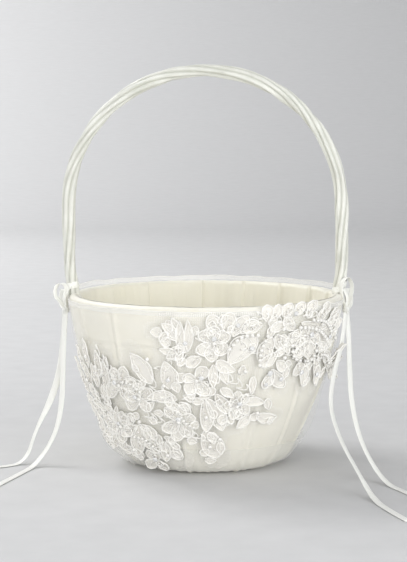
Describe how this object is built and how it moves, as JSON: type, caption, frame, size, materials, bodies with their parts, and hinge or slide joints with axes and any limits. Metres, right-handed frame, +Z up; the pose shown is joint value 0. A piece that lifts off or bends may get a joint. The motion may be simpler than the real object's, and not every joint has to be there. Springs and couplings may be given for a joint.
{
  "type": "flower girl basket",
  "caption": "Padded satin bowl with a sheer overlay, beaded lace on its front, a pleated lining, a fixed arched handle and a ribbon bow with hanging tails at each side.",
  "frame": {"origin": "centre of the underside of the base, on the surface the basket stands on", "axes": "+Z up through the handle, -Y towards the lace side, +X to the right as the lace side is looked at"},
  "size_m": [0.3012, 0.2871, 0.2883],
  "materials": {
    "ivory_satin": "satin",
    "organza": "sheer",
    "lining_satin": "satin",
    "white_ribbon": "satin",
    "wadding": "matt",
    "lace_net": "matt",
    "pearl": "pearl gloss",
    "crystal": "cut, clear",
    "moulded_board": "matt",
    "card": "matt",
    "steel_wire": "drawn"
  },
  "bodies": {
    "root": {"base_cover": "ivory_satin", "bowl_shell": "moulded_board", "crystal_beads": "crystal", "floor_card": "card", "floor_cover": "lining_satin", "floor_pad": "wadding", "handle_core": "steel_wire", "handle_padding": "wadding", "handle_wrap": "ivory_satin", "lace_centre": "lace_net", "lace_left": "lace_net", "lace_right": "lace_net", "left_bow_band": "white_ribbon", "left_bow_inner_loop": "white_ribbon", "left_bow_knot": "white_ribbon", "left_bow_outer_loop": "white_ribbon", "left_inner_tail": "white_ribbon", "left_outer_tail": "white_ribbon", "leg_staples": "steel_wire", "organza_overlay": "organza", "pearl_beads": "pearl", "right_bow_band": "white_ribbon", "right_bow_inner_loop": "white_ribbon", "right_bow_knot": "white_ribbon", "right_bow_outer_loop": "white_ribbon", "right_inner_tail": "white_ribbon", "right_outer_tail": "white_ribbon", "rim_pad": "wadding", "rim_wire": "steel_wire", "satin_cover": "ivory_satin", "satin_lining": "lining_satin", "seed_beads": "pearl", "wall_wadding": "wadding"}
  },
  "joints": []
}
